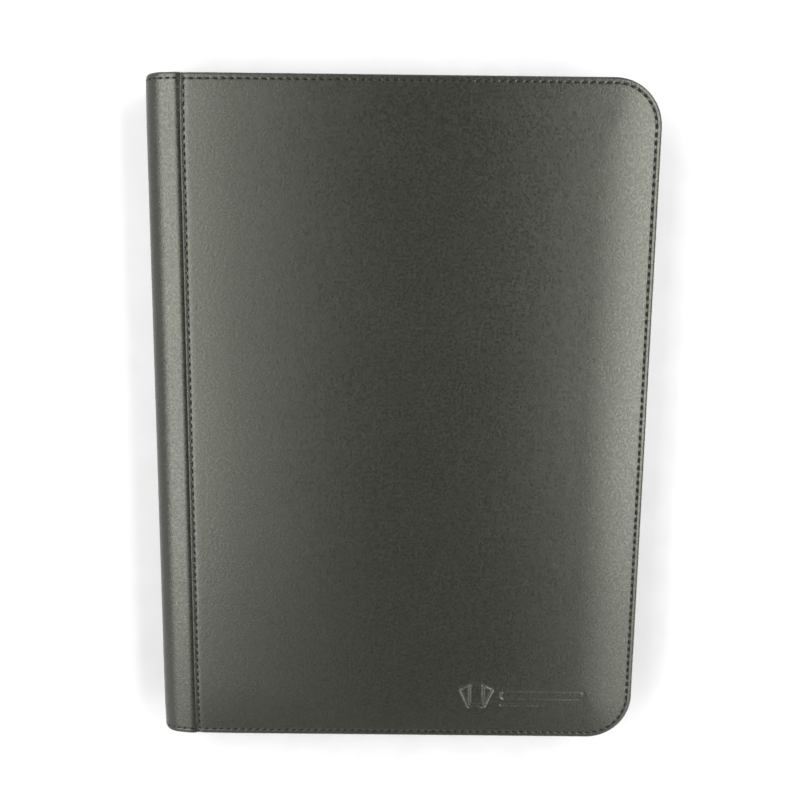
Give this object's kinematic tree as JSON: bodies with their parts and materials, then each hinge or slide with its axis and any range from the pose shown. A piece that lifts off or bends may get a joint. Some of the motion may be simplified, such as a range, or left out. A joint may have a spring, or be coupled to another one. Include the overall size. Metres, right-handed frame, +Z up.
{
  "type": "trading card binder",
  "caption": "Zip-around padded leatherette binder for trading cards, with pocket leaves, a soft spine that opens flat and a zip slider with a turning pull.",
  "frame": {"origin": "middle of the back cover's resting face", "axes": "+Z up through the thickness from the back cover to the front cover, +Y towards the top edge, +X from the spine towards the fore edge"},
  "size_m": [0.258, 0.3512, 0.034],
  "materials": {
    "leatherette": "fine grain, satin",
    "foam": "soft foam",
    "board": "grey bookbinding board",
    "lining": "short nap",
    "thread": "spun thread",
    "zip_tape": "woven tape",
    "zip_teeth": "coiled nylon",
    "zip_metal": "black enamel",
    "binding": "matt",
    "page_film": "clear pockets on a black backing"
  },
  "bodies": {
    "back_cover": {"back_skin": "leatherette", "back_strip": "leatherette", "back_hinge_skin": "leatherette", "back_foam": "foam", "back_board": "board", "back_lining": "lining", "back_hinge_lining": "lining", "back_stitching": "thread", "back_zip_tape": "zip_tape", "back_zip_teeth": "zip_teeth", "back_zip_stop_top": "zip_metal", "back_zip_stop_foot": "zip_metal"},
    "spine": {"spine_skin": "leatherette", "spine_board": "board", "spine_lining": "lining", "binding_strip": "binding", "front_page_films": "page_film", "back_page_films": "page_film"},
    "front_cover": {"front_skin": "leatherette", "front_strip": "leatherette", "front_hinge_skin": "leatherette", "front_foam": "foam", "front_board": "board", "front_lining": "lining", "front_hinge_lining": "lining", "front_stitching": "thread", "front_zip_tape": "zip_tape", "front_zip_teeth": "zip_teeth", "front_zip_stop_top": "zip_metal", "front_zip_stop_foot": "zip_metal"},
    "back_pages": {"page_01": "page_film", "page_02": "page_film", "page_03": "page_film", "page_04": "page_film", "page_05": "page_film", "page_06": "page_film", "page_07": "page_film", "page_08": "page_film", "page_09": "page_film", "page_10": "page_film"},
    "front_pages": {"page_11": "page_film", "page_12": "page_film", "page_13": "page_film", "page_14": "page_film", "page_15": "page_film", "page_16": "page_film", "page_17": "page_film", "page_18": "page_film", "page_19": "page_film", "page_20": "page_film"},
    "zip_slider": {"zip_slider": "zip_metal"},
    "zip_pull": {"zip_pull": "zip_metal"}
  },
  "joints": [
    {"name": "spine_hinge", "type": "hinge", "parent": "back_cover", "child": "spine", "pos_m": [-0.12664, 0, 0.00316], "axis": [0, -1, 0], "range_deg": [0, 90], "deforming": ["back_hinge_skin", "back_hinge_lining"]},
    {"name": "front_cover_hinge", "type": "hinge", "parent": "spine", "child": "front_cover", "pos_m": [-0.12664, 0, 0.03084], "axis": [0, -1, 0], "range_deg": [0, 90], "deforming": ["front_hinge_skin", "front_hinge_lining"]},
    {"name": "back_pages_turn", "type": "hinge", "parent": "spine", "child": "back_pages", "pos_m": [-0.11814, 0, 0.01166], "axis": [0, -1, 0], "range_deg": [-90, 0], "deforming": ["back_page_films"]},
    {"name": "front_pages_turn", "type": "hinge", "parent": "spine", "child": "front_pages", "pos_m": [-0.11814, 0, 0.02234], "axis": [0, -1, 0], "range_deg": [0, 90], "deforming": ["front_page_films"]},
    {"name": "zip_slide", "type": "slide", "parent": "back_cover", "child": "zip_slider", "axis": [1, 0, 0], "range_m": [0, 0.195]},
    {"name": "zip_pull_hinge", "type": "hinge", "parent": "zip_slider", "child": "zip_pull", "pos_m": [-0.1054, -0.1754, 0.017], "axis": [0, 0, -1], "range_deg": [0, 180]}
  ],
  "couplings": [
    {"joint": "front_cover_hinge", "follows": "spine_hinge", "ratio": 1},
    {"joint": "back_pages_turn", "follows": "spine_hinge", "ratio": -1},
    {"joint": "front_pages_turn", "follows": "spine_hinge", "ratio": 1}
  ]
}
